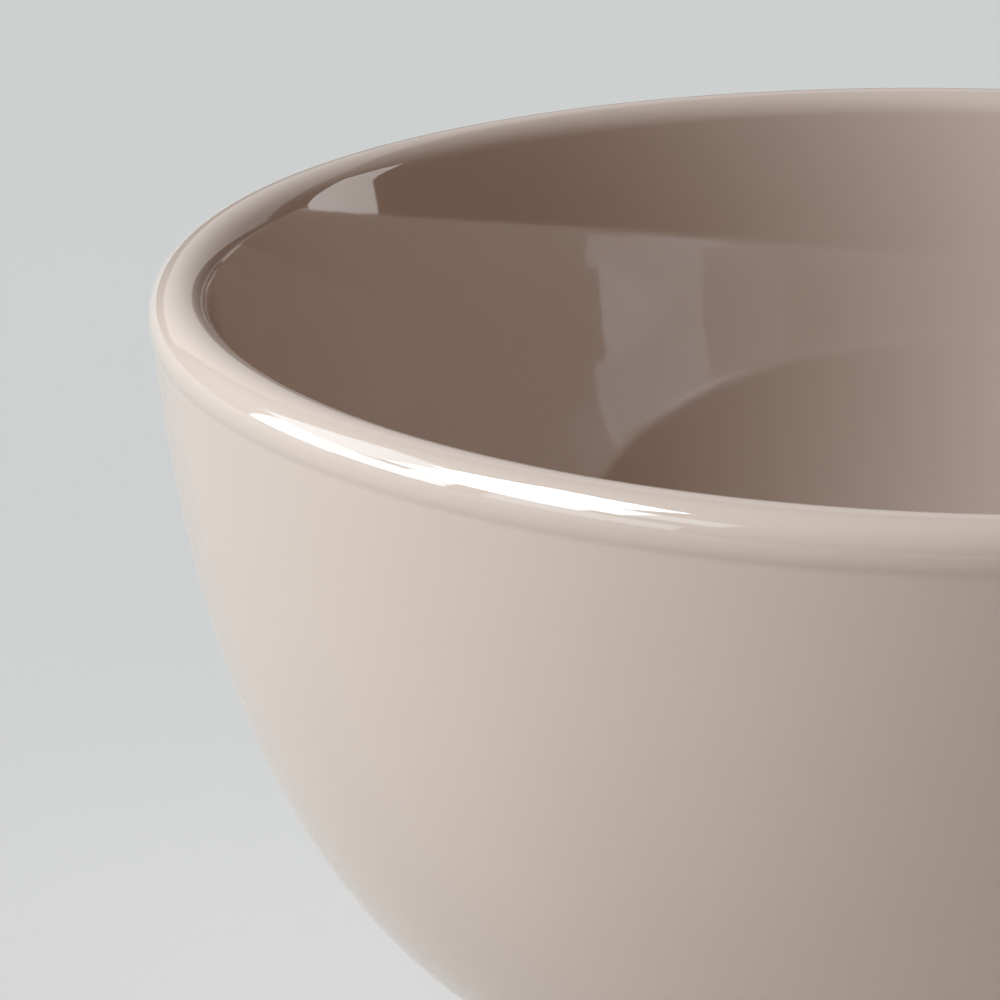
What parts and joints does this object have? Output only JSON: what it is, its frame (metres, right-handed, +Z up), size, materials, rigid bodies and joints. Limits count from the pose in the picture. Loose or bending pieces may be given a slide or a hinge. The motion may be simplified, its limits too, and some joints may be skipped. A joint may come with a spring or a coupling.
{
  "type": "latte bowl",
  "caption": "Round handleless stoneware bowl for milky coffee, with a deep curved wall, a softly rounded lip, a glossy beige glaze and a turned foot ring left bare underneath.",
  "frame": {"origin": "middle of the foot ring's underside, where the bowl stands on the table", "axes": "+Z up along the bowl's axis; X and Y are level and equal, because the bowl is round"},
  "size_m": [0.14, 0.14, 0.072],
  "materials": {
    "clay": "bare fired stoneware, matt and slightly grainy",
    "glaze": "smooth glossy beige glaze"
  },
  "bodies": {
    "root": {"clay_body": "clay", "outer_glaze": "glaze", "inner_glaze": "glaze", "foot_well_glaze": "glaze"}
  },
  "joints": []
}
